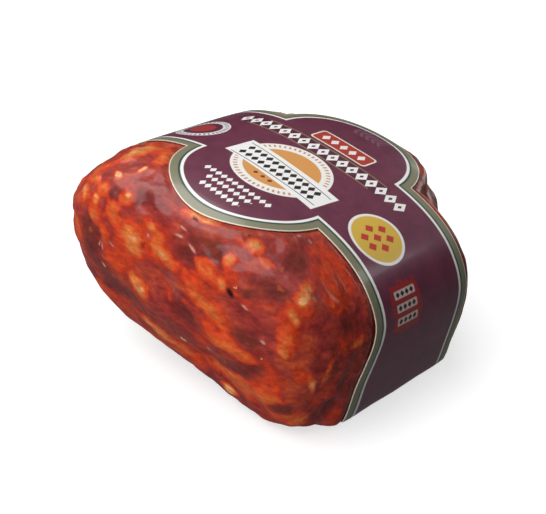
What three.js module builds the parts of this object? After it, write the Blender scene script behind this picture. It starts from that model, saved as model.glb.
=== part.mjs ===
// A small cured sausage: one loaf of coarse, air-dried pork, pressed askew while it
// cured, with one printed paper label wrapped round its girth.
//
// Millimetres, +Z up. X runs along the sausage: the broad, blunt end faces -X and the
// narrower, rounder end faces +X. The sausage lies on its belly at z = 0 on top of the
// part of the label that passes under it, and its top leans down towards -Y.

import * as THREE from "three";
import { mergeVertices } from "three/addons/utils/BufferGeometryUtils.js";

// ---- The loaf before it settles: half sizes from its middle ----
const LENGTH_BLUNT = 45.0; // middle to the blunt end
const LENGTH_ROUND = 50.5; // middle to the rounder end
const WIDTH_LOW = 47.0; // middle to the side that the top leans down to
const WIDTH_HIGH = 48.3; // middle to the other side
const TOP = 31.6; // middle to the top
const BELLY = 22.7; // middle to the underside
const BELLY_SAG = 2.1; // how much lower the underside hangs on the high side
const TOP_SQUARENESS_LOW = 2.78; // 2 is an ellipse, more is a squarer shoulder
const TOP_SQUARENESS_HIGH = 2.54; // the same on the higher side
const BELLY_SQUARENESS = 5.8;
const BLUNT_SQUARENESS = 6.2;
const ROUND_SQUARENESS = 3.67;

// ---- How it was pressed and how it lies ----
const END_SKEW = -0.058; // the ends are this much out of square with the length
const LEAN = 13.0; // degrees that the top leans down towards -Y
const NOSE = 3; // degrees that the rounder end hangs down
const MIDDLE_HEIGHT = 23.5; // the middle above what it lies on
const CENTRE = { x: 1.83, y: 1.32 }; // brings the middle of the outer box over the origin

// Shallow hollows pressed into the meat, each towards a heading in degrees (round from
// +X, then up), with its depth in mm and its spread in degrees.
const HOLLOWS = [
  { round: 204, up: -29, depth: 6.9, spread: 22.5 }, // low on the blunt end
  { round: 142, up: -33, depth: 8.2, spread: 30 }, // under the high corner behind it
  { round: -32, up: 11.5, depth: 13.5, spread: 32 }, // the tapered shoulder at the round end
  { round: 42, up: 41, depth: 2.2, spread: 28 }, // behind the tongue on the high side
];

// ---- The label ----
const BAND_HALF = 15.7; // middle of the band to its white line, along the sausage
const LOBE_RADIUS = 19.8; // white line of the round tongues on the top
const LOBE_FRONT = 15.7; // centre of the tongue towards the blunt end
const LOBE_REAR = 14.5; // centre of the tongue towards the rounder end
const BORDER = 3.3; // from the white line out to the cut edge
const LABEL_TURN = -1.0; // the print's middle is this far round from the top
const PAPER = 0.4; // paper with its adhesive and film
const GAP = 0.3; // between the paper and the meat
const SEAM = 0.6; // left open where the two ends meet under the belly

const LOBE_COLUMNS = 14; // from the middle of the tongue to its corner
const BAND_COLUMNS = 32; // from there to the seam
const BAND_ROWS = 8;
const ROW_CROWD = 1.2; // the rows lie closer together towards the cut edges

const radians = THREE.MathUtils.degToRad;

// The loaf's half height in a direction that points `across` towards +Y.
function halfHeight(across, up) {
  if (up >= 0) return TOP;
  return BELLY + BELLY_SAG * THREE.MathUtils.smoothstep(across, 0, 0.5);
}

// How far the skin stands from the middle along the unit direction `way`, with no hollows.
function skin(way) {
  const width = way.y < 0 ? WIDTH_LOW : WIDTH_HIGH;
  const length = way.x < 0 ? LENGTH_BLUNT : LENGTH_ROUND;
  const topPower = way.y < 0 ? TOP_SQUARENESS_LOW : TOP_SQUARENESS_HIGH;
  const girthPower = way.z >= 0 ? topPower : BELLY_SQUARENESS;
  const endPower = way.x < 0 ? BLUNT_SQUARENESS : ROUND_SQUARENESS;
  const girth =
    (Math.abs(way.y) / width) ** girthPower +
    (Math.abs(way.z) / halfHeight(way.y, way.z)) ** girthPower;
  const end = (Math.abs(way.x) / length) ** endPower;
  return (end + girth ** (endPower / girthPower)) ** (-1 / endPower);
}

// How deep the hollows are in the same direction.
function hollow(way) {
  const length = way.x < 0 ? LENGTH_BLUNT : LENGTH_ROUND;
  const width = way.y < 0 ? WIDTH_LOW : WIDTH_HIGH;
  const height = way.z < 0 ? BELLY : TOP;
  const scaled = new THREE.Vector3(way.x / length, way.y / width, way.z / height).normalize();
  let depth = 0;
  for (const dent of HOLLOWS) {
    const heading = new THREE.Vector3(
      Math.cos(radians(dent.up)) * Math.cos(radians(dent.round)),
      Math.cos(radians(dent.up)) * Math.sin(radians(dent.round)),
      Math.sin(radians(dent.up)),
    );
    depth += dent.depth * Math.exp(-((scaled.angleTo(heading) / radians(dent.spread)) ** 2));
  }
  return depth;
}

// Skews a point of the loaf, leans it and lifts it to where it lies.
const pose = new THREE.Matrix4()
  .makeRotationY(radians(NOSE))
  .multiply(new THREE.Matrix4().makeRotationX(radians(LEAN)));

function settle(point) {
  const lying = new THREE.Vector3(point.x + END_SKEW * point.y, point.y, point.z);
  lying.applyMatrix4(pose);
  lying.x -= CENTRE.x;
  lying.y -= CENTRE.y;
  lying.z += MIDDLE_HEIGHT;
  return lying;
}

// ---- The meat: a ball whose points move out to the skin, flat where it lies ----
function meatGeometry() {
  const ball = new THREE.SphereGeometry(1, 64, 40);
  const at = ball.getAttribute("position");
  for (let i = 0; i < at.count; i += 1) {
    // The ball's poles are on its Y axis, and go to the two ends.
    const way = new THREE.Vector3(at.getY(i), at.getZ(i), at.getX(i)).normalize();
    const point = settle(way.clone().multiplyScalar(skin(way) - hollow(way)));
    point.z = Math.max(point.z, PAPER + GAP);
    at.setXYZ(i, point.x, point.y, point.z);
  }
  return closed(ball);
}

// ---- The label: a thin block bent right round the loaf ----

// Points on the loaf's middle girth, from the top round towards -Y, with the length so far.
function girthLine(steps = 1440) {
  const line = [];
  for (let i = -steps / 2; i <= steps / 2; i += 1) {
    const turn = (2 * Math.PI * i) / steps;
    const way = new THREE.Vector3(0, -Math.sin(turn), Math.cos(turn));
    line.push({ point: way.clone().multiplyScalar(skin(way)), length: 0 });
  }
  for (let i = 1; i < line.length; i += 1) {
    line[i].length = line[i - 1].length + line[i].point.distanceTo(line[i - 1].point);
  }
  const top = line[steps / 2].length;
  for (const mark of line) mark.length -= top;
  return line;
}

const girth = girthLine();
const GIRTH_START = girth[0].length;
const GIRTH = girth[girth.length - 1].length - GIRTH_START;

// The loaf's surface at `round` mm round the girth from the top and `along` mm from its middle.
function onLoaf(round, along) {
  let wanted = round + LABEL_TURN - GIRTH_START;
  wanted = GIRTH_START + (((wanted % GIRTH) + GIRTH) % GIRTH);
  let low = 0;
  let high = girth.length - 1;
  while (high - low > 1) {
    const middle = (low + high) >> 1;
    if (girth[middle].length <= wanted) low = middle;
    else high = middle;
  }
  const between = (wanted - girth[low].length) / (girth[high].length - girth[low].length);
  const point = girth[low].point.clone().lerp(girth[high].point, between);
  const length = along < 0 ? LENGTH_BLUNT : LENGTH_ROUND;
  const power = along < 0 ? BLUNT_SQUARENESS : ROUND_SQUARENESS;
  point.multiplyScalar((1 - (Math.abs(along) / length) ** power) ** (1 / power));
  point.x = along;
  return settle(point);
}

// A point `out` mm above the loaf's surface, and no lower than `floor`.
function overLoaf(round, along, out, floor) {
  const step = 0.5;
  const acrossWay = onLoaf(round + step, along).sub(onLoaf(round - step, along));
  const alongWay = onLoaf(round, along + step).sub(onLoaf(round, along - step));
  const outWay = acrossWay.cross(alongWay).normalize();
  const point = onLoaf(round, along).addScaledVector(outWay, out);
  point.z = Math.max(point.z, floor);
  return point;
}

// The label's half width `round` mm from its middle, towards one end (side -1 or 1).
function labelReach(round, side) {
  const centre = side < 0 ? LOBE_FRONT : LOBE_REAR;
  const radius = LOBE_RADIUS + BORDER;
  const lobe = centre + Math.sqrt(Math.max(0, radius ** 2 - round ** 2));
  return Math.abs(round) < radius ? Math.max(BAND_HALF + BORDER, lobe) : BAND_HALF + BORDER;
}

// Where a column of the block goes: close together round the tongue, then evenly to the seam.
function columnAt(fraction) {
  const share = LOBE_COLUMNS / (LOBE_COLUMNS + BAND_COLUMNS);
  const corner = Math.sqrt((LOBE_RADIUS + BORDER) ** 2 - (BAND_HALF + BORDER - LOBE_FRONT) ** 2);
  const size = Math.abs(fraction);
  const end = (GIRTH - SEAM) / 2;
  const round =
    size < share
      ? corner * Math.sin(((size / share) * Math.PI) / 2)
      : corner + ((size - share) / (1 - share)) * (end - corner);
  return Math.sign(fraction) * round;
}

function labelGeometry() {
  const columns = 2 * (LOBE_COLUMNS + BAND_COLUMNS);
  const block = new THREE.BoxGeometry(2, 2, 1, columns, BAND_ROWS, 1);
  const at = block.getAttribute("position");
  for (let i = 0; i < at.count; i += 1) {
    const round = columnAt(at.getX(i));
    const side = Math.sin(at.getY(i) * ROW_CROWD) / Math.sin(ROW_CROWD);
    const along = side * labelReach(round, Math.sign(side));
    const outside = at.getZ(i) > 0;
    const point = overLoaf(round, along, outside ? GAP + PAPER : GAP, outside ? 0 : PAPER);
    at.setXYZ(i, point.x, point.y, point.z);
  }
  return closed(block);
}

// Joins the points that coincide, so that the faces make one closed skin.
function closed(geometry) {
  geometry.deleteAttribute("normal");
  geometry.deleteAttribute("uv");
  const merged = mergeVertices(geometry, 1e-3);
  merged.computeVertexNormals();
  return merged;
}

const sausage = new THREE.Mesh(
  meatGeometry(),
  new THREE.MeshStandardMaterial({ color: 0x8c3222, roughness: 0.35, metalness: 0 }),
);
sausage.name = "sausage";

const label = new THREE.Mesh(
  labelGeometry(),
  new THREE.MeshStandardMaterial({ color: 0x4a2338, roughness: 0.4, metalness: 0 }),
);
label.name = "label_band";

const part = new THREE.Group();
part.add(sausage, label);

export default part;
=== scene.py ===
# A small pressed sausage: coarse pork, salted and reddened with sweet pepper, packed in
# a casing and pressed between boards while it cures, so that it sets as a soft, askew
# loaf. It is sold with clear film drawn tight over it and one printed label round it.

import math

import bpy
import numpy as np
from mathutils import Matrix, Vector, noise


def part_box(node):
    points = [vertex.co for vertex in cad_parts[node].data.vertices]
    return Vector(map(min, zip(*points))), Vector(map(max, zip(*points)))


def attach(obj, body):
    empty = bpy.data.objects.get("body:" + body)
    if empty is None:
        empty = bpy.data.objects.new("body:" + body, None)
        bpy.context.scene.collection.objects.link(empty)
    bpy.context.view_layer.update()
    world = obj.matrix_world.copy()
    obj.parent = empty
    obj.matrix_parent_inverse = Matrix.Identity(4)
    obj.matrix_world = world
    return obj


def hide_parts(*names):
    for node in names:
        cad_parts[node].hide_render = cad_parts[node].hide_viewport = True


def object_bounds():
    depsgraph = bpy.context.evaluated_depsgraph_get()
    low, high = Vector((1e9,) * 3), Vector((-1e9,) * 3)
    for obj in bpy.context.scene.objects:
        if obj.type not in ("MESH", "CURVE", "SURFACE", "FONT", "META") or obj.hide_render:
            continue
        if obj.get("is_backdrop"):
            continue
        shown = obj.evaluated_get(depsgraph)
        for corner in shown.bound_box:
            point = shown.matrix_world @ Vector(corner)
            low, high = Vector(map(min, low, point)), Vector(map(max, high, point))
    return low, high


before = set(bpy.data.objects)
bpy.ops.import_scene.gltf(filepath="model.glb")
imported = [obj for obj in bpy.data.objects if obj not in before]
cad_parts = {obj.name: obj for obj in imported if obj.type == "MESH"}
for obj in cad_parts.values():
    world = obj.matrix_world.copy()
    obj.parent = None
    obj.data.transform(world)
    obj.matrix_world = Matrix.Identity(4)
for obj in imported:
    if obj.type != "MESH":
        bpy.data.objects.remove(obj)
cad_low, cad_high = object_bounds()


# ---- The meat ----
# One piece of coarse cured pork, lean and fat pressed together until no gap is left.
# It was squeezed under boards, so its faces are flat-ish and its shoulders are round,
# and the film over it lies close in every dimple and shines like a wet skin.

MEAT_STEP = 0.00062  # size of one face of the fine surface

# The loaf before it was dented, in millimetres: half sizes and squareness of its sides.
LENGTH_BLUNT, LENGTH_ROUND = 45.0, 50.5
WIDTH_LOW, WIDTH_HIGH = 47.0, 48.3
TOP, BELLY, BELLY_SAG = 31.6, 22.7, 2.1
TOP_SQUARENESS_LOW, TOP_SQUARENESS_HIGH, BELLY_SQUARENESS = 2.78, 2.54, 5.8
BLUNT_SQUARENESS, ROUND_SQUARENESS = 6.2, 3.67
END_SKEW, LEAN, NOSE = -0.058, math.radians(13.0), math.radians(3)
MIDDLE = np.array((-1.83, -1.32, 23.5))

# The label's outline, laid flat: millimetres round from its middle, and along the loaf.
BAND_HALF = 15.7  # middle of the band to its white line
LOBE_RADIUS, LOBE_FRONT, LOBE_REAR = 19.8, -15.7, 14.5
BORDER = 3.3  # white line to cut edge
LABEL_TURN = -1.0
FLARE, FLARE_REACH = 4.0, 38  # how far its front edge slips low on the side, and fades over


def take(*pieces):
    """Selects only these pieces, the last one active."""
    bpy.ops.object.select_all(action="DESELECT")
    for piece in pieces:
        piece.select_set(True)
        bpy.context.view_layer.objects.active = piece


def finish_with(piece, kind, **settings):
    """Adds one modifier with its settings and applies it."""
    take(piece)
    modifier = piece.modifiers.new(kind.title(), kind)
    for name, value in settings.items():
        setattr(modifier, name, value)
    bpy.ops.object.modifier_apply(modifier=modifier.name)


def smooth(value, start, end):
    """Rises from 0 at the start to 1 at the end, eased at both."""
    share = np.clip((value - start) / (end - start), 0, 1)
    return share * share * (3 - 2 * share)


def skin(way):
    """How far the undented loaf reaches from its middle along a unit way."""
    x, y, z = way[..., 0], way[..., 1], way[..., 2]
    width = np.where(y < 0, WIDTH_LOW, WIDTH_HIGH)
    length = np.where(x < 0, LENGTH_BLUNT, LENGTH_ROUND)
    height = np.where(z < 0, BELLY + BELLY_SAG * smooth(y, 0, 0.5), TOP)
    top = np.where(y < 0, TOP_SQUARENESS_LOW, TOP_SQUARENESS_HIGH)
    round_power = np.where(z < 0, BELLY_SQUARENESS, top)
    end_power = np.where(x < 0, BLUNT_SQUARENESS, ROUND_SQUARENESS)
    girth = (abs(y) / width) ** round_power + (abs(z) / height) ** round_power
    end = (abs(x) / length) ** end_power
    return (end + girth ** (end_power / round_power)) ** (-1 / end_power)


def lie(points):
    """Skews the loaf, leans it and lifts it to where it lies."""
    x, y, z = points[..., 0] + END_SKEW * points[..., 1], points[..., 1], points[..., 2]
    y, z = y * math.cos(LEAN) - z * math.sin(LEAN), y * math.sin(LEAN) + z * math.cos(LEAN)
    x, z = x * math.cos(NOSE) + z * math.sin(NOSE), z * math.cos(NOSE) - x * math.sin(NOSE)
    return np.stack([x, y, z], -1) + MIDDLE


def stand(points):
    """The other way: from where it lies to upright and square."""
    x, y, z = np.moveaxis(points - MIDDLE, -1, 0)
    x, z = x * math.cos(NOSE) - z * math.sin(NOSE), z * math.cos(NOSE) + x * math.sin(NOSE)
    y, z = y * math.cos(LEAN) + z * math.sin(LEAN), z * math.cos(LEAN) - y * math.sin(LEAN)
    return np.stack([x - END_SKEW * y, y, z], -1)


# The girth: points round the loaf's middle, from its top towards -Y, with the length so far.
girth_turn = np.linspace(-math.pi, math.pi, 2881)
girth_way = np.stack([0 * girth_turn, -np.sin(girth_turn), np.cos(girth_turn)], -1)
girth_at = girth_way * skin(girth_way)[:, None]
girth_steps = np.linalg.norm(np.diff(girth_at, axis=0), axis=1)
girth_length = np.concatenate([[0], np.cumsum(girth_steps)])
girth_length -= girth_length[len(girth_length) // 2]
GIRTH = girth_length[-1] - girth_length[0]


def slip(round_, along):
    """How far the label slips towards the blunt end, most at its front edge, low on the side."""
    flare = FLARE * smooth(round_, 50, 72) * smooth(round_, 118, 95)
    return flare * np.clip((BAND_HALF + BORDER - along) / FLARE_REACH, 0, 1)


def past_label(round_, along):
    """How far a place lies outside the label's cut edge, below 0 under the label."""
    along = along + slip(round_, along)
    past = abs(along) - BAND_HALF
    for centre in (LOBE_FRONT, LOBE_REAR):
        past = np.minimum(past, np.hypot(round_, along - centre) - LOBE_RADIUS)
    return past - BORDER


meat = bpy.data.objects.new("cured_meat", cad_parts["sausage"].data.copy())
bpy.context.collection.objects.link(meat)
meat.data.name = "cured_meat"
meat.data.materials.clear()
take(meat)
bpy.ops.object.mode_set(mode="EDIT")
bpy.ops.mesh.select_all(action="SELECT")
bpy.ops.mesh.remove_doubles(threshold=0.00002)
bpy.ops.mesh.tris_convert_to_quads()
bpy.ops.object.mode_set(mode="OBJECT")
finish_with(meat, "SUBSURF", levels=1, render_levels=1)
finish_with(meat, "REMESH", mode="VOXEL", voxel_size=MEAT_STEP)
finish_with(meat, "SMOOTH", factor=0.5, iterations=20)

# The label draws the meat up to itself. Beside its front edge the meat swells a little, and
# behind its rear edge, low on the side, it necks in.
DRAWN_FRONT, DRAWN_REAR = 7, 6  # how far from the label the meat is drawn up to it
SWELL, NECK = 0.4, 3.2
lying = np.array([vertex.co for vertex in meat.data.vertices]) * 1000
upright = stand(lying)
reach = np.linalg.norm(upright, axis=1)
way = upright / reach[:, None]
round_ = np.interp(np.arctan2(-way[:, 1], way[:, 2]), girth_turn, girth_length) - LABEL_TURN
past = past_label(round_, upright[:, 0])
drawn = smooth(past, np.where(upright[:, 0] < 0, DRAWN_FRONT, DRAWN_REAR), 0)
reach += (skin(way) - reach) * drawn
reach -= NECK * smooth(past, 0, 8) * smooth(upright[:, 0], 0, 5) * smooth(upright[:, 1], -18, -32)
reach += np.where(upright[:, 0] < 0, SWELL, 0) * smooth(past, 0.3, 1.5) * smooth(past, 6, 2)
upright = way * reach[:, None]
lying = lie(upright)

# The pieces of meat lie long ways across the ends, a little downhill.
LAY_TURN = math.radians(-33)
LAY = Matrix.Rotation(LAY_TURN, 3, "X")
LUMP, FOLD, DIMPLE = 0.75, 0.5, 0.12  # millimetres
FLOOR = 0.7  # height of the meat's flat belly, which lies on the label


def relief(place):
    """How far the skin stands out at a place, in millimetres: pressed lumps, then dimples."""
    lain = LAY @ place
    lain.y *= 0.5
    lumps = noise.fractal(lain * 0.095, 0.9, 2.0, 3)
    folds = abs(noise.noise(lain * 0.21 + Vector((3, 7, 1))))
    dimples = noise.noise(place * 0.42)
    return LUMP * lumps - FOLD * folds + DIMPLE * dimples


skin_way = np.array([vertex.normal for vertex in meat.data.vertices])
stands_out = np.array([relief(Vector(point)) for point in lying])
stands_out *= 1 - 0.7 * smooth(past, 4, 0)
stands_out = np.where(past < 0.3, np.minimum(stands_out, 0) * 0.3 - 0.1, stands_out)

# Every piece that is big enough to see, as three amounts: fat (0.4 stained red, 0.66 orange,
# 0.84 amber, 1 white), dark lean, and haze under the film, partly the film's own mauve haze
# and partly painted sheen. Past 1.2 dark lean is painted shade, near black, in a pit, and haze
# is a painted glint off a crease in the film.
KINDS = {
    "red": (0.40, 0.0, 0.0),
    "orange": (0.66, 0.0, 0.0),
    "amber": (0.84, 0.0, 0.0),
    "white": (1.05, 0.0, 0.0),
    "dark": (0.0, 0.8, 0.0),
    "haze_and_sheen": (0.05, 0.1, 0.85),
    "glint": (0.3, 0.0, 2.2),
    "shaded_pit": (0.0, 2.2, 0.0),
}
marbling_and_painted_light = np.zeros((len(lying), 3))
wander = np.array(
    [
        0.34 * noise.noise(Vector(point) * 0.22) + 0.2 * noise.noise(Vector(point) * 0.6)
        for point in lying
    ]
)


def press_in(places, at, along, long, wide, kind, amount=1.0):
    """Puts one piece, meat or painted light, into the amounts: an oval with soft, wandering edges.
    """
    off = places - at
    run = off @ along
    across = np.sqrt(np.maximum(0, (off**2).sum(1) - run**2))
    far = np.hypot(run / long, across / wide) + wander
    share = (smooth(far, 1.5, 0.4) * amount)[:, None]
    marbling_and_painted_light[:] = marbling_and_painted_light * (1 - share) + np.array(KINDS[kind]) * share


# The many pieces all over, laid at random, most of them long ways round the loaf.
chance = np.random.default_rng(11)
# A few of them are mauve haze, partly the film's own and partly painted sheen.
SPREAD = [("dark", 0.27), ("red", 0.34), ("orange", 0.24), ("amber", 0.09), ("haze_and_sheen", 0.06)]
PIECES = 620
for _ in range(PIECES):
    spot = chance.integers(len(lying))
    normal = skin_way[spot]
    downhill = np.array((0, -0.84, -0.54)) if abs(normal[0]) > 0.6 else np.cross((1, 0, 0), normal)
    downhill = downhill - normal * (downhill @ normal) + chance.normal(0, 0.28, 3)
    downhill /= np.linalg.norm(downhill)
    kind = chance.choice([k for k, _ in SPREAD], p=[share for _, share in SPREAD])
    long = chance.uniform(2.2, 8.5)
    wide = long * chance.uniform(0.3, 0.65)
    press_in(lying, lying[spot], downhill, long, wide, str(kind), chance.uniform(0.3, 0.85))

# The bigger pieces seen on the blunt end, on that end laid flat from its middle, in
# millimetres: kind, towards -Y, up, turn in degrees, half length, half width.
# Some of these are painted light: sheen along the shoulder, glints off the film, shade in pits.
END_PIECES = [
    ("dark", -31, 6, 95, 8.7, 5.2),
    ("dark", -26, 22, 175, 5.0, 3.4),
    ("dark", 9, 28, 5, 9.0, 4.4),
    ("dark", -25, -8, 113, 3.6, 7.4),
    ("dark", 31, 27, 3, 7.0, 3.4),
    ("dark", 36, 38, 160, 4.6, 4.4),
    ("dark", 58, 25, 133, 4.8, 2.9),
    ("dark", 28, 10, 10, 5.5, 2.8),
    ("dark", 28, -1, 34, 8.9, 3.4),
    ("dark", 45, -8, 12, 4.7, 2.5),
    ("dark", 9, 4, 169, 5.7, 2.5),
    ("dark", 25, 22, 18, 4.0, 2.2),
    ("red", -20, 4, 152, 4.8, 6.1),
    ("red", 8, 15, 171, 5.8, 3.4),
    ("red", 49, 40, 151, 9.3, 4.8),
    ("red", 53, 31, 129, 5.6, 4.0),
    ("red", 40, 17, 108, 6.0, 3.8),
    ("red", 40, 1, 136, 4.8, 3.4),
    ("red", 47, 6, 121, 4.0, 3.1),
    ("orange", -31, 43, 125, 5.4, 4.0),
    ("orange", -31, 22, 160, 3.7, 2.6),
    ("orange", -21, 25, 168, 3.2, 2.9),
    ("orange", -23, 18, 136, 4.6, 2.9),
    ("orange", -30, 14, 119, 3.0, 2.5),
    ("orange", -6, 20, 164, 2.2, 1.9),
    ("orange", -40, 5, 164, 4.4, 3.6),
    ("orange", 28, 33, 173, 2.8, 1.7),
    ("orange", 64, 18, 50, 3.5, 1.9),
    ("orange", 24, 4, 4, 8.6, 2.1),
    ("orange", 31, -9, 154, 4.5, 3.6),
    ("orange", 14, 11, 164, 8.0, 2.6),
    ("orange", 8, -17, 172, 7.0, 2.5),
    ("orange", 56, 7, 83, 5.3, 1.3),
    ("orange", 40, 16, 100, 3.4, 2.0),
    ("amber", -43, 37, 145, 6.4, 4.4),
    ("amber", -39, 17, 164, 4.1, 2.4),
    ("amber", -31, 18, 135, 2.4, 1.5),
    ("amber", -14, 15, 153, 4.8, 3.4),
    ("amber", -9, 22, 147, 1.5, 1.1),
    ("amber", -3, 17, 169, 4.5, 2.2),
    ("amber", -10, 3, 144, 4.6, 2.6),
    ("amber", -6, -16, 170, 10.0, 2.6),
    ("amber", 22, 36, 146, 3.1, 3.0),
    ("amber", 17, 28, 61, 2.6, 1.6),
    ("amber", 4, 35, 17, 6.8, 1.9),
    ("amber", 42, 30, 70, 3.4, 2.8),
    ("amber", 40, 23, 148, 2.8, 1.5),
    ("amber", 40, 12, 151, 2.0, 1.2),
    ("amber", 17, 20, 127, 2.0, 1.5),
    ("amber", 27, -18, 11, 3.4, 1.9),
    ("amber", 52, 3, 109, 4.4, 1.4),
    ("haze_and_sheen", -19, 34, 19, 7.5, 1.9),
    ("haze_and_sheen", -10, 31, 163, 5.9, 1.8),
    ("haze_and_sheen", 4, 31, 9, 6.6, 1.7),
    ("haze_and_sheen", 18, 32, 168, 4.8, 1.8),
    ("haze_and_sheen", 34, 31, 172, 5.4, 1.4),
    ("haze_and_sheen", 23, 24, 134, 1.6, 1.5),
    ("haze_and_sheen", 2, 10, 143, 4.3, 1.7),
    ("haze_and_sheen", 19, -2, 161, 2.2, 1.6),
    ("white", -32, 29, 170, 3.2, 1.2),
    ("white", -29, 36, 114, 2.2, 1.2),
    ("white", -21, 26, 7, 1.3, 1.0),
    ("white", 42, 28, 45, 1.8, 1.0),
    ("orange", -44, 26, 57, 5.2, 3.0),
    ("orange", 11, 21, 167, 3.7, 2.8),
    ("glint", 5, 24, 154, 2.2, 0.55),
    ("glint", 0, 25, 15, 1.7, 0.7),
    ("glint", 0, 28, 172, 1.7, 0.5),
    ("glint", -21, 9, 158, 1.5, 0.5),
    ("glint", -25, 6, 107, 1.3, 0.5),
    ("glint", -9, 19, 132, 1.0, 0.6),
    ("glint", 25, 18, 172, 1.7, 0.6),
    ("glint", 33, 12, 178, 1.1, 0.7),
    ("glint", 33, 46, 11, 1.5, 0.7),
    ("glint", 37, 46, 141, 1.7, 0.5),
    ("glint", 18, -2, 140, 1.7, 0.8),
    ("shaded_pit", 20, 19, 150, 1.5, 0.9),
    ("shaded_pit", 2, 33, 170, 1.2, 0.45),
]
from_middle = np.hypot(upright[:, 1], upright[:, 2])
unrolled = np.maximum(0, from_middle + upright[:, 0] + LENGTH_BLUNT)
unrolled /= np.maximum(from_middle, 0.01)
flat_end = np.stack([-upright[:, 1] * unrolled, upright[:, 2] * unrolled], -1)
for kind, across, up, turn, long, wide in END_PIECES:
    turn = math.radians(turn)
    along = np.array((math.cos(turn), math.sin(turn)))
    press_in(flat_end, np.array((across, up)), along, long, wide, kind)

# Fat is softer than lean, and stands a little proud of it where the film is drawn tight.
stands_out += np.where(past < 0.3, 0, 0.22 * np.minimum(marbling_and_painted_light[:, 0], 1) - 0.12 * marbling_and_painted_light[:, 1])
for vertex, point, normal, height in zip(meat.data.vertices, lying, skin_way, stands_out):
    point = point + normal * height
    vertex.co = (point[0] / 1000, point[1] / 1000, max(point[2], FLOOR) / 1000)
held = meat.data.attributes.new("marbling_and_painted_light", "FLOAT_VECTOR", "POINT")
held.data.foreach_set("vector", marbling_and_painted_light.astype("float32").ravel())
take(meat)
bpy.ops.object.shade_smooth()


def linear(code):
    """A colour written as an sRGB hex value, as the linear colour that shaders take."""
    parts = [int(code[i : i + 2], 16) / 255 for i in (0, 2, 4)]
    return [c / 12.92 if c <= 0.04045 else ((c + 0.055) / 1.055) ** 2.4 for c in parts] + [1]


def add(tree, kind, inputs=None, stops=None, **settings):
    """Adds one node: its settings, then its sockets, each a value or another's output."""
    node = tree.nodes.new("ShaderNode" + kind)
    for name, value in settings.items():
        setattr(node, name, value)
    for name, value in (inputs or {}).items():
        if isinstance(value, bpy.types.NodeSocket):
            tree.links.new(value, node.inputs[name])
        else:
            node.inputs[name].default_value = value
    if stops:
        ramp = node.color_ramp
        while len(ramp.elements) < len(stops):
            ramp.elements.new(0.5)
        for mark, (where, code) in zip(ramp.elements, stops):
            mark.position = where
            mark.color = linear(code)
    return node.outputs


def new_material(name, piece):
    """An empty node material on the piece, with its shader and its tree."""
    material = bpy.data.materials.new(name)
    material.use_nodes = True
    piece.data.materials.append(material)
    tree = material.node_tree
    return tree, tree.nodes["Principled BSDF"]


# Cured pork under clear film: lean goes from brick red to maroon where it is driest, fat
# is stained orange by the pepper, and the film gives a tight, wet-looking gloss.
tree, shader = new_material("cured_pork_under_film", meat)
place = add(tree, "TexCoord")["Object"]
lain = {"Vector": place, "Rotation": (LAY_TURN, 0, 0), "Scale": (1, 0.5, 1)}
lain = add(tree, "Mapping", lain)[0]
# The amounts read back, with painted sheen, glints and pit shade among them.
held = add(tree, "Attribute", attribute_name="marbling_and_painted_light")["Vector"]
amounts = add(tree, "SeparateXYZ", {0: held})

# Lean: brick red that drifts over 10 mm, with streaks 2 mm wide along the lay.
drift = {"Vector": lain, "Scale": 110, "Detail": 3, "Distortion": 0.6}
drift = add(tree, "TexNoise", drift)["Fac"]
streak = {"Vector": lain, "Scale": 420, "Detail": 3, "Distortion": 0.8}
streak = add(tree, "TexNoise", streak)["Fac"]
tone = add(tree, "Math", {0: streak, 1: 0.6, 2: drift}, operation="MULTIPLY_ADD")[0]
lean = add(
    tree,
    "ValToRGB",
    {0: tone},
    stops=[
        (0.55, "6e2220"),
        (0.68, "862c28"),
        (0.79, "96342b"),
        (0.90, "a63e2c"),
        (1.00, "b64a2a"),
    ],
)[0]

# Fat: its edge frays by fine noise, and it goes from stained red through amber to white.
fray = add(tree, "TexNoise", {"Vector": lain, "Scale": 560, "Detail": 4, "Roughness": 0.6})["Fac"]
fray = add(tree, "MapRange", {0: fray, 1: 0.25, 2: 0.75, 3: -0.2, 4: 0.2})[0]
weak = add(tree, "Math", {0: amounts[0], 1: 2.5}, operation="MULTIPLY", use_clamp=True)[0]
fray = add(tree, "Math", {0: fray, 1: weak, 2: amounts[0]}, operation="MULTIPLY_ADD")[0]
fat = add(
    tree,
    "ValToRGB",
    {0: fray},
    stops=[
        (0.22, "a32c18"),
        (0.40, "bd3a1c"),
        (0.60, "c44e24"),
        (0.80, "c86a32"),
        (1.00, "d89c6a"),
    ],
)[0]
share = add(
    tree, "MapRange", {0: fray, 1: 0.10, 2: 0.38, 3: 0, 4: 1}, interpolation_type="SMOOTHSTEP"
)[0]
colour = add(tree, "Mix", {0: share, 6: lean, 7: fat}, data_type="RGBA")[2]

# Dark lean, its edge broken by the same streaks, and near black in a pit: painted shade.
dark = add(tree, "Math", {0: streak, 1: 0.7, 2: -0.35}, operation="MULTIPLY_ADD")[0]
dark = add(tree, "Math", {0: dark, 1: amounts[1]}, operation="ADD")[0]
dark = add(
    tree, "MapRange", {0: dark, 1: 0.15, 2: 1.0, 3: 0, 4: 0.85}, interpolation_type="SMOOTHSTEP"
)[0]
colour = add(tree, "Mix", {0: dark, 6: colour, 7: linear("5e2420")}, data_type="RGBA")[2]
# Painted shade: near black where a pit would hold shadow.
shaded_pit = add(tree, "MapRange", {0: amounts[1], 1: 1.2, 2: 2.0, 3: 0, 4: 0.9})[0]
colour = add(tree, "Mix", {0: shaded_pit, 6: colour, 7: linear("120806")}, data_type="RGBA")[2]

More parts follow.
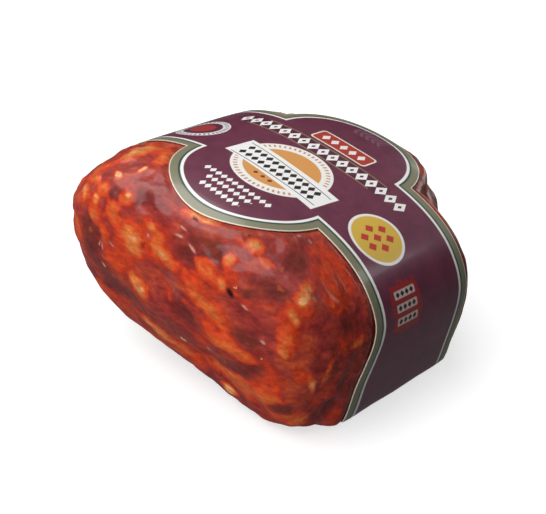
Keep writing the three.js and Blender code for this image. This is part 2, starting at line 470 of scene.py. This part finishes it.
# Haze and sheen: a mauve haze where salt and a little air lie between the meat and the film,
# with painted sheen, light off the film along the blunt end's shoulder, in the same mauve.
haze_and_sheen = {"Vector": place, "Scale": 700, "Detail": 4, "Roughness": 0.65}
haze_and_sheen = add(tree, "TexNoise", haze_and_sheen)["Fac"]
haze_and_sheen = add(tree, "MapRange", {0: haze_and_sheen, 1: 0.35, 2: 0.65, 3: 0.1, 4: 0.85})[0]
haze_and_sheen = add(tree, "Math", {0: haze_and_sheen, 1: amounts[2]}, operation="MULTIPLY")[0]
haze_and_sheen = add(tree, "Math", {0: haze_and_sheen, 1: 0.45}, operation="MINIMUM")[0]
colour = add(tree, "Mix", {0: haze_and_sheen, 6: colour, 7: linear("86484c")}, data_type="RGBA")[2]
# Painted glints: whitish highlights off creases in the film, painted into the colour.
glint = add(tree, "MapRange", {0: amounts[2], 1: 1.3, 2: 2.1, 3: 0, 4: 0.45})[0]
colour = add(tree, "Mix", {0: glint, 6: colour, 7: linear("e6b8a0")}, data_type="RGBA")[2]

# Small bits, 1 to 2 mm: a few of hard, pale fat, orange crumbs, and dark specks of pepper.
jog = add(tree, "TexNoise", {"Vector": place, "Scale": 600, "Detail": 2})["Color"]
jog = {0: jog, 1: (0.003, 0.003, 0.003), 2: place}
jog = add(tree, "VectorMath", jog, operation="MULTIPLY_ADD")[0]
bits = add(tree, "TexVoronoi", {"Vector": jog, "Scale": 340})
bit_tone = add(tree, "SeparateColor", {0: bits["Color"]})
bit = {0: bits["Distance"], 1: 0.34, 2: 0.16, 3: 0, 4: 1}
bit = add(tree, "MapRange", bit, interpolation_type="SMOOTHSTEP")[0]
pale = add(tree, "Math", {0: bit_tone[0], 1: 0.985}, operation="GREATER_THAN")[0]
pale = add(tree, "Math", {0: bit, 1: pale}, operation="MULTIPLY")[0]
colour = add(tree, "Mix", {0: pale, 6: colour, 7: linear("dcae80")}, data_type="RGBA")[2]
crumb = add(tree, "Math", {0: bit_tone[2], 1: 0.9}, operation="GREATER_THAN")[0]
crumb = add(tree, "Math", {0: bit, 1: crumb}, operation="MULTIPLY")[0]
crumb = add(tree, "Math", {0: crumb, 1: 0.4}, operation="MULTIPLY")[0]
colour = add(tree, "Mix", {0: crumb, 6: colour, 7: linear("c8642e")}, data_type="RGBA")[2]
speck = add(tree, "Math", {0: bit_tone[1], 1: 0.96}, operation="GREATER_THAN")[0]
speck = add(tree, "Math", {0: bit, 1: speck}, operation="MULTIPLY")[0]
speck = add(tree, "Math", {0: speck, 1: 0.55}, operation="MULTIPLY")[0]
colour = add(tree, "Mix", {0: speck, 6: colour, 7: linear("3c100c")}, data_type="RGBA")[2]

# Towards the round end it goes browner and darker: painted shade on the end away from the light.
end = add(tree, "SeparateXYZ", {0: place})[0]
end = {0: end, 1: 0.008, 2: 0.03, 3: 0, 4: 0.5}
end = add(tree, "MapRange", end, interpolation_type="SMOOTHSTEP")[0]
colour = add(tree, "Mix", {0: end, 6: colour, 7: linear("5a3a28")}, data_type="RGBA")[2]

# Fine grain of the lean.
grain = add(tree, "TexNoise", {"Vector": lain, "Scale": 900, "Detail": 3})["Fac"]
grain = add(tree, "MapRange", {0: grain, 1: 0.3, 2: 0.7, 3: 0.78, 4: 1.22})[0]
colour = add(
    tree, "Mix", {0: 1.0, 6: colour, 7: grain}, data_type="RGBA", blend_type="MULTIPLY"
)[2]
tree.links.new(colour, shader.inputs["Base Color"])

# The film follows the meat closely, and is a little uneven along the lay.
lumps = {"Vector": lain, "Scale": 300, "Detail": 6, "Roughness": 0.62, "Distortion": 0.5}
lumps = add(tree, "TexNoise", lumps)["Fac"]
film = add(tree, "Bump", {"Height": lumps, "Strength": 0.8, "Distance": 0.0006})[0]
tree.links.new(film, shader.inputs["Normal"])
shader.inputs["Roughness"].default_value = 0.5
shader.inputs["IOR"].default_value = 1.4
shader.inputs["Specular IOR Level"].default_value = 0.25
shader.inputs["Subsurface Weight"].default_value = 0.25
shader.inputs["Subsurface Radius"].default_value = (1.0, 0.35, 0.2)
shader.inputs["Subsurface Scale"].default_value = 0.0015
shader.inputs["Coat Weight"].default_value = 0.38
shader.inputs["Coat Roughness"].default_value = 0.13

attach(meat, "root")
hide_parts("sausage")


# ---- The label ----
# One strip of coated paper, printed and die-cut with a round tongue on each side, wrapped
# round the loaf under the film with its two cut ends meeting, just apart, below. It is stiff, so
# it bridges the dimples in the meat, and it has creased where the loaf's side turns in underneath.

CREASE, CREASE_RISE, CREASE_HALF = 53.0, 0.35, 8.0  # round from the print's middle
PAPER_GAP = 0.15  # from the loaf to the paper
PAPER = 0.22


def on_loaf(round_, along):
    """The loaf's surface so far round the girth and so far along, in millimetres."""
    wanted = (round_ + LABEL_TURN - girth_length[0]) % GIRTH + girth_length[0]
    length = np.where(along < 0, LENGTH_BLUNT, LENGTH_ROUND)
    power = np.where(along < 0, BLUNT_SQUARENESS, ROUND_SQUARENESS)
    end = (1 - (abs(along) / length) ** power) ** (1 / power)
    y = np.interp(wanted, girth_length, girth_at[:, 1]) * end
    z = np.interp(wanted, girth_length, girth_at[:, 2]) * end
    return lie(np.stack([along, y, z], -1))


def wrapped(round_, along, out):
    """A point of the paper, out from the loaf's surface, in millimetres."""
    step = 0.25
    across_way = on_loaf(round_ + step, along) - on_loaf(round_ - step, along)
    along_way = on_loaf(round_, along + step) - on_loaf(round_, along - step)
    out_way = np.cross(across_way, along_way)
    out_way /= np.linalg.norm(out_way, axis=-1, keepdims=True)
    point = on_loaf(round_, along) + out_way * out[..., None]
    point[..., 2] = np.maximum(point[..., 2], PAPER + 0.02)
    return point


def label_reach(round_, side):
    """Half the label's width at this place round, towards the blunt (-1) or round end."""
    centre = LOBE_FRONT if side < 0 else LOBE_REAR
    radius = LOBE_RADIUS + BORDER
    lobe = abs(centre) + np.sqrt(np.maximum(0, radius**2 - round_**2))
    return np.where(abs(round_) < radius, np.maximum(BAND_HALF + BORDER, lobe), BAND_HALF + BORDER)


# The sheet starts flat, as cut: 2 wide and 2 long, a column for each millimetre round.
COLUMNS, ROWS = 320, 56
LOBE_SHARE = 0.3  # of the columns, for the tongues' round edges
END_GAP = 0.4  # each cut end stops this short of where they meet, below
corner = math.sqrt((LOBE_RADIUS + BORDER) ** 2 - (BAND_HALF + BORDER + LOBE_FRONT) ** 2)
bpy.ops.object.select_all(action="DESELECT")
bpy.ops.mesh.primitive_grid_add(x_subdivisions=COLUMNS, y_subdivisions=ROWS, size=2)
label = bpy.context.object
label.name = "paper_label"
label.data.name = "paper_label"
flat = np.array([v.co[:2] for v in label.data.vertices])
size = abs(flat[:, 0])
round_ = np.sign(flat[:, 0]) * np.where(
    size < LOBE_SHARE,
    corner * np.sin(size / LOBE_SHARE * math.pi / 2),
    corner + (size - LOBE_SHARE) / (1 - LOBE_SHARE) * (GIRTH / 2 - END_GAP - corner),
)
along = flat[:, 1] * np.where(flat[:, 1] < 0, label_reach(round_, -1), label_reach(round_, 1))
fold = np.maximum(0, 1 - abs(round_ - CREASE) / CREASE_HALF)
out = PAPER_GAP + CREASE_RISE * fold
points = wrapped(round_, along - slip(round_, along), out) / 1000
for vertex, point in zip(label.data.vertices, points):
    vertex.co = point
print_map = label.data.uv_layers.active or label.data.uv_layers.new(name="print")
print_map.name = "print"
for loop, spot in zip(label.data.loops, print_map.data):
    spot.uv = (round_[loop.vertex_index], along[loop.vertex_index])
finish_with(label, "SOLIDIFY", thickness=PAPER / 1000, offset=1)
take(label)
bpy.ops.object.shade_smooth_by_angle(angle=math.radians(35))

# Coated paper printed in five inks and varnished: flat, even colour with a soft gloss.
tree, shader = new_material("varnished_printed_paper", label)
spot = add(tree, "UVMap", uv_map="print")[0]
along_at = add(tree, "SeparateXYZ", {0: spot})[1]
INK_EDGE = 0.07  # millimetres over which an ink fades at its edge


def disc(across, up, radius):
    """How far the spot lies outside a disc on the flat label."""
    far = add(tree, "VectorMath", {0: spot, 1: (across, up, 0)}, operation="DISTANCE")["Value"]
    return add(tree, "Math", {0: far, 1: radius}, operation="SUBTRACT")[0]


def turned(across, up, turn):
    """Where the spot lies from a place on the flat label, turned back by so many degrees."""
    off = add(tree, "VectorMath", {0: spot, 1: (across, up, 0)}, operation="SUBTRACT")[0]
    off = {"Vector": off, "Angle": math.radians(-turn)}
    return add(tree, "VectorRotate", off, rotation_type="Z_AXIS")[0]


def panel(across, up, half_long, half_high, turn=0.0, corner=0.0):
    """How far the spot lies outside a turned panel with round corners."""
    off = turned(across, up, turn)
    off = add(tree, "VectorMath", {0: off}, operation="ABSOLUTE")[0]
    half = (half_long - corner, half_high - corner, 0)
    off = add(tree, "VectorMath", {0: off, 1: half}, operation="SUBTRACT")[0]
    if corner:
        off = add(tree, "VectorMath", {0: off, 1: (0, 0, 0)}, operation="MAXIMUM")[0]
        far = add(tree, "VectorMath", {0: off}, operation="LENGTH")["Value"]
        return add(tree, "Math", {0: far, 1: corner}, operation="SUBTRACT")[0]
    parts = add(tree, "SeparateXYZ", {0: off})
    return add(tree, "Math", {0: parts[0], 1: parts[1]}, operation="MAXIMUM")[0]


def printed(below, shape, ink, strength=1.0):
    """Prints an ink over what is below it, wherever the shape's distance is under 0."""
    cover = {0: shape, 1: INK_EDGE, 2: -INK_EDGE, 3: 0, 4: strength}
    cover = add(tree, "MapRange", cover)[0]
    return add(tree, "Mix", {0: cover, 6: below, 7: linear(ink)}, data_type="RGBA")[2]


def lozenges(first, last, up, period, wide, high, turn=0.0):
    """How far the spot lies outside a row of lozenges that stand side by side."""
    parts = add(tree, "SeparateXYZ", {0: turned((first + last) / 2, up, turn)})
    run = add(tree, "Math", {0: parts[0], 1: (last - first) / 2}, operation="ADD")[0]
    run = add(tree, "Math", {0: run, 1: period / 2}, operation="PINGPONG")[0]
    run = add(tree, "Math", {0: run, 1: period / 2}, operation="SUBTRACT")[0]
    run = add(tree, "Math", {0: run}, operation="ABSOLUTE")[0]
    run = add(tree, "Math", {0: run, 1: high / wide}, operation="MULTIPLY")[0]
    rise = add(tree, "Math", {0: parts[1]}, operation="ABSOLUTE")[0]
    shape = add(tree, "Math", {0: run, 1: rise}, operation="ADD")[0]
    shape = add(tree, "Math", {0: shape, 1: high}, operation="SUBTRACT")[0]
    past_end = add(tree, "Math", {0: parts[0]}, operation="ABSOLUTE")[0]
    past_end = add(tree, "Math", {0: past_end, 1: (last - first) / 2}, operation="SUBTRACT")[0]
    return add(tree, "Math", {0: shape, 1: past_end}, operation="MAXIMUM")[0]


def beads(across, up, radius, half_high, count, gap):
    """How far the spot lies outside the beads of a ring; the gap is 0 to 0.5 of a step."""
    off = add(tree, "VectorMath", {0: spot, 1: (across, up, 0)}, operation="SUBTRACT")[0]
    parts = add(tree, "SeparateXYZ", {0: off})
    angle = add(tree, "Math", {0: parts[1], 1: parts[0]}, operation="ARCTAN2")[0]
    beat = add(tree, "Math", {0: angle, 1: count / (2 * math.pi)}, operation="MULTIPLY")[0]
    beat = add(tree, "Math", {0: beat, 1: 0.5}, operation="PINGPONG")[0]
    beat = add(tree, "Math", {0: beat, 1: gap}, operation="SUBTRACT")[0]
    ring = add(tree, "Math", {0: disc(across, up, radius)}, operation="ABSOLUTE")[0]
    ring = add(tree, "Math", {0: ring, 1: half_high}, operation="SUBTRACT")[0]
    return add(tree, "Math", {0: ring, 1: beat}, operation="MAXIMUM")[0]


# The distance from the white line, below 0 in the field, then the inks of the border:
# purple, white line, dark green line, sage, and the bare paper of the cut edge.
band = add(tree, "Math", {0: along_at}, operation="ABSOLUTE")[0]
edge = add(tree, "Math", {0: band, 1: BAND_HALF}, operation="SUBTRACT")[0]
for centre in (LOBE_FRONT, LOBE_REAR):
    edge = add(tree, "Math", {0: edge, 1: disc(0, centre, LOBE_RADIUS)}, operation="MINIMUM")[0]
mottle = {"Vector": spot, "Scale": 0.22, "Detail": 5, "Roughness": 0.6}
mottle = add(tree, "TexNoise", mottle)["Fac"]
ink = add(tree, "ValToRGB", {0: mottle}, stops=[(0.3, "602a3f"), (0.7, "73354b")])[0]

# The title strip between two gilt lines, with a row of open lozenges.
TITLE_UP, TITLE_ENDS = 9.15, (-29.5, 28.3)
ink = printed(ink, panel(-3, TITLE_UP, 24, 2.9), "4c2034", 0.7)
ink = printed(ink, panel(-4, 6.3, 21.5, 0.16), "9c8a5c")
ink = printed(ink, panel(-1.2, 12.0, 20.7, 0.16), "9c8a5c")
ink = printed(ink, lozenges(*TITLE_ENDS, TITLE_UP, 3.4, 1.6, 2.7), "f6f4f2")
ink = printed(ink, lozenges(*TITLE_ENDS, TITLE_UP, 3.4, 0.5, 0.9), "602a3f")

# The medallion: a white rim, a ring of small beads, and an orange disc.
MEDALLION = (0.1, -7.8)
ink = printed(ink, disc(*MEDALLION, 13.4), "f4f2ee")
ink = printed(ink, beads(*MEDALLION, 12.05, 0.55, 56, 0.2), "c98a4e")
ink = printed(ink, disc(*MEDALLION, 10.2), "dd9c56")
ink = printed(ink, lozenges(-3.4, 3.9, -15.25, 2.43, 0.7, 0.75), "7c2420")

# The banner across it, ruled in black, with two rows of small dark lozenges.
ink = printed(ink, panel(0.95, -8.9, 16.2, 5.0, -4.5), "f6f5f2")
ink = printed(ink, panel(1.2, -5.6, 15.2, 0.13, -5.4), "2a2226")
ink = printed(ink, panel(1.0, -12.6, 15.0, 0.13, -2.0), "2a2226")
ink = printed(ink, lozenges(-12.9, 14.1, -7.4, 2.25, 0.95, 1.4, -4.5), "2a2226")
ink = printed(ink, lozenges(-12.9, 14.1, -10.6, 2.25, 0.95, 1.4, -3), "2a2226")

# Three short rows on the front tongue.
for half, up in ((11.4, -24.0), (7.8, -27.1), (6.8, -30.4)):
    ink = printed(ink, lozenges(-half, half, up, 1.9, 0.85, 1.25), "f4f2f0")

# The red plaque and a faint sprig on the rear tongue.
ink = printed(ink, panel(0.5, 16.5, 9.6, 3.3, 0, 1.2), "ece2d4")
ink = printed(ink, panel(0.5, 16.5, 9.1, 2.8, 0, 0.9), "b03a30")
ink = printed(ink, lozenges(-7.3, 8.3, 16.5, 3.12, 1.1, 1.8), "f2ece6")
ink = printed(ink, panel(-1, 30, 5.4, 0.16), "8b6e78", 0.6)
for step in range(-2, 3):
    for side in (-1, 1):
        leaf = panel(-1 + 2.1 * step, 30 + 1.5 * side, 1.5, 0.5, 50 * side, 0.5)
        ink = printed(ink, leaf, "8b6e78", 0.5)

# The plain yellow round on the low side, with a patch of red lozenges, and the roundel on
# the high side, beads round a red disc.
YELLOW_AT, YELLOW_UP = 31.8, -5.5
ROUNDEL = (-31, -5)
ink = printed(ink, disc(YELLOW_AT, YELLOW_UP, 8.0), "f2f0ec")
ink = printed(ink, disc(YELLOW_AT, YELLOW_UP, 7.2), "dcb648")
for half, rise in ((3.2, -3.4), (4.8, 0), (3.2, 3.4)):
    ends = (YELLOW_AT - half, YELLOW_AT + half)
    red = lozenges(*ends, rise + YELLOW_UP, 3.2, 1.3, 1.5)
    ink = printed(ink, red, "c23c30")
ink = printed(ink, disc(*ROUNDEL, 7.5), "e8e4e2")
ink = printed(ink, beads(*ROUNDEL, 6.5, 0.6, 34, 0.22), "8a7a80")
ink = printed(ink, disc(*ROUNDEL, 5.4), "5f2a3d")
ink = printed(ink, disc(*ROUNDEL, 3.6), "a8383a")

# The rough-edged red patch lower on that side, with three pale bars of small dark lozenges.
rough = add(tree, "TexNoise", {"Vector": spot, "Scale": 0.7, "Detail": 2})["Fac"]
rough = add(tree, "MapRange", {0: rough, 1: 0.3, 2: 0.7, 3: -1.1, 4: 1.1})[0]
PATCH_UP = -6.5
patch = panel(50.5, PATCH_UP, 6.2, 5.3, 0, 1.5)
patch = add(tree, "Math", {0: patch, 1: rough}, operation="ADD")[0]
ink = printed(ink, patch, "9c2c2e")
for across in (47.0, 50.4, 53.8):
    ink = printed(ink, panel(across, PATCH_UP, 1.05, 4.0, 0, 0.4), "d6cac2", 0.85)
    dots = lozenges(across - 3.6, across + 3.6, PATCH_UP, 1.8, 0.75, 0.8, 90)
    ink = printed(ink, dots, "3a1c22")

# The border over all of it.
for start, code in ((-0.42, "f6f4f0"), (0.42, "2f4a40"), (1.0, "7f7d63"), (3.05, "e4dccb")):
    beyond = add(tree, "Math", {0: start, 1: edge}, operation="SUBTRACT")[0]
    ink = printed(ink, beyond, code)
tree.links.new(ink, shader.inputs["Base Color"])
fibre = add(tree, "TexNoise", {"Vector": spot, "Scale": 1.6, "Detail": 3})["Fac"]
fibre = add(tree, "Bump", {"Height": fibre, "Strength": 0.12, "Distance": 0.0003})[0]
tree.links.new(fibre, shader.inputs["Normal"])
shader.inputs["Roughness"].default_value = 0.38
shader.inputs["Coat Weight"].default_value = 0.5
shader.inputs["Coat Roughness"].default_value = 0.14

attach(label, "root")
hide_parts("label_band")


# ---- The table, the lights and the camera ----
# A plain white top that glows a little, so that only the shadow close to the sausage shows
# on it. A big soft light hangs overhead, a softer one fills in from the blunt end without
# a reflection of its own, and two small ones stand behind.

bpy.ops.object.select_all(action="DESELECT")
bpy.ops.mesh.primitive_plane_add(size=6)
table = bpy.context.object
table.name = "table"

# White laminate with a matt face: it has no gloss, and the glow grows away from the object.
tree, shader = new_material("matt_white_laminate", table)
shader.inputs["Base Color"].default_value = linear("c4c4c4")
shader.inputs["Roughness"].default_value = 1.0
shader.inputs["Specular IOR Level"].default_value = 0.0
shader.inputs["Emission Color"].default_value = linear("ffffff")
away = add(tree, "VectorMath", {0: add(tree, "TexCoord")["Object"]}, operation="LENGTH")["Value"]
away = add(tree, "MapRange", {0: away, 1: 0.12, 2: 0.5, 3: 0.64, 4: 1.05})[0]
tree.links.new(away, shader.inputs["Emission Strength"])
table.visible_diffuse = False
table.visible_glossy = False
table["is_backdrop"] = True

low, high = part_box("label_band")
middle = Vector(((low.x + high.x) / 2, (low.y + high.y) / 2, (low.z + high.z) / 2))


def soft_light(name, way, distance, size, power):
    """A soft rectangular light that faces the object from this way."""
    bpy.ops.object.select_all(action="DESELECT")
    way = Vector(way).normalized()
    bpy.ops.object.light_add(type="AREA", location=middle + way * distance)
    light = bpy.context.object
    light.name = name
    light.rotation_euler = way.to_track_quat("Z", "Y").to_euler()
    light.data.shape = "RECTANGLE"
    light.data.size, light.data.size_y = size
    light.data.energy = power
    return light


soft_light("key", (-0.28, 0.36, 0.88), 0.7, (0.9, 0.9), 7.8)
front = soft_light("front", (-0.97, -0.20, 0.0), 0.7, (0.6, 0.4), 5.6)
front.visible_glossy = False
soft_light("back", (0.64, -0.58, 0.51), 0.6, (0.12, 0.12), 0.12)
soft_light("rear", (0.97, 0.02, 0.14), 0.7, (0.4, 0.3), 0.9)

# The room: a soft grey overhead, dark near the horizon, the light off the table below, and
# a white backdrop behind it all.
world = bpy.data.worlds.new("studio")
bpy.context.scene.world = world
world.use_nodes = True
room = world.node_tree
up = add(room, "SeparateXYZ", {0: add(room, "TexCoord")["Generated"]})[2]
up = add(room, "MapRange", {0: up, 1: -1, 2: 1, 3: 0, 4: 1})[0]
glow = add(
    room,
    "ValToRGB",
    {0: up},
    stops=[(0.0, "6a6a6a"), (0.44, "5c5c5c"), (0.52, "101011"), (0.64, "1c1c1e"), (0.8, "606062")],
)[0]
seen = add(room, "LightPath")["Is Camera Ray"]
glow = add(room, "Mix", {0: seen, 6: glow, 7: linear("ffffff")}, data_type="RGBA")[2]
room.links.new(glow, room.nodes["Background"].inputs[0])
room.nodes["Background"].inputs[1].default_value = 1

AZIMUTH, ELEVATION = math.radians(-46.4), math.radians(28.3)
CAMERA_FAR = 3.7  # times the sausage's length
back = Vector(
    (
        math.sin(AZIMUTH) * math.cos(ELEVATION),
        -math.cos(AZIMUTH) * math.cos(ELEVATION),
        math.sin(ELEVATION),
    )
)
length = cad_high.x - cad_low.x
aim = (cad_low + cad_high) / 2 + Vector((-0.0517, -0.0141, -0.045)) * length
bpy.ops.object.camera_add(location=aim + back * CAMERA_FAR * length)
camera = bpy.context.object
camera.rotation_euler = back.to_track_quat("Z", "Y").to_euler()
camera.data.lens = 82.4
camera.data.clip_start = 0.01
bpy.context.scene.camera = camera
bpy.context.scene.view_settings.view_transform = "Standard"

# ---- The size of the finished model ----
# Its box, lowest and highest corner, in metres.

low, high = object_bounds()
